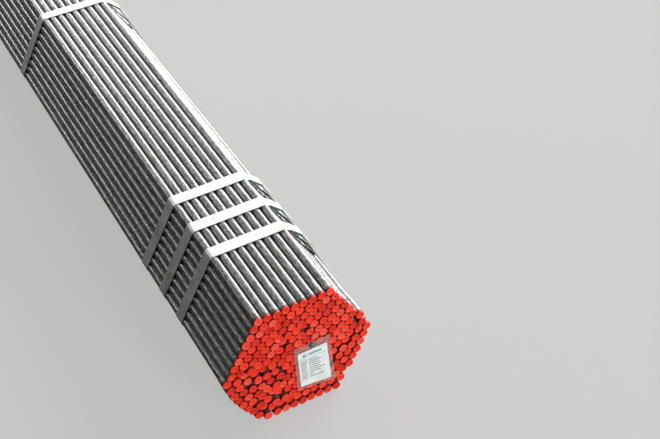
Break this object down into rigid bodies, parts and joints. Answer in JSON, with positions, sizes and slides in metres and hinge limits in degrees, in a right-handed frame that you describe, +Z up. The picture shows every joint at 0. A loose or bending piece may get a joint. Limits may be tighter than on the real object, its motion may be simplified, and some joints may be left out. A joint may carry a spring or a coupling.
{
  "type": "bundle of steel pipes",
  "caption": "Hexagonal bundle of capped steel pipes, close packed and held by crimped flat steel straps, with a tag at one end.",
  "frame": {"origin": "on the floor under the middle of the bundle", "axes": "+Y along the pipes, from the tagged end to the other end; +Z up; +X to the right of someone who faces the tagged end"},
  "size_m": [0.3674, 6.03, 0.3212],
  "materials": {
    "pipe_steel": "glossy dark varnish",
    "cap_plastic": "satin",
    "strap_steel": "galvanised",
    "seal_steel": "galvanised",
    "pouch_film": "clear film",
    "card_stock": "paper",
    "pin_plastic": "moulded"
  },
  "bodies": {
    "root": {"outer_pipes": "pipe_steel", "pipe_core": "pipe_steel", "front_caps": "cap_plastic", "rear_caps": "cap_plastic", "strap_1": "strap_steel", "strap_2": "strap_steel", "strap_3": "strap_steel", "strap_4": "strap_steel", "strap_5": "strap_steel", "strap_6": "strap_steel", "strap_7": "strap_steel", "strap_8": "strap_steel", "strap_9": "strap_steel", "strap_10": "strap_steel", "seal_1": "seal_steel", "seal_2": "seal_steel", "seal_3": "seal_steel", "seal_4": "seal_steel", "seal_5": "seal_steel", "seal_6": "seal_steel", "seal_7": "seal_steel", "seal_8": "seal_steel", "seal_9": "seal_steel", "seal_10": "seal_steel", "tag_pouch": "pouch_film", "tag_card": "card_stock", "tag_pin": "pin_plastic"}
  },
  "joints": []
}
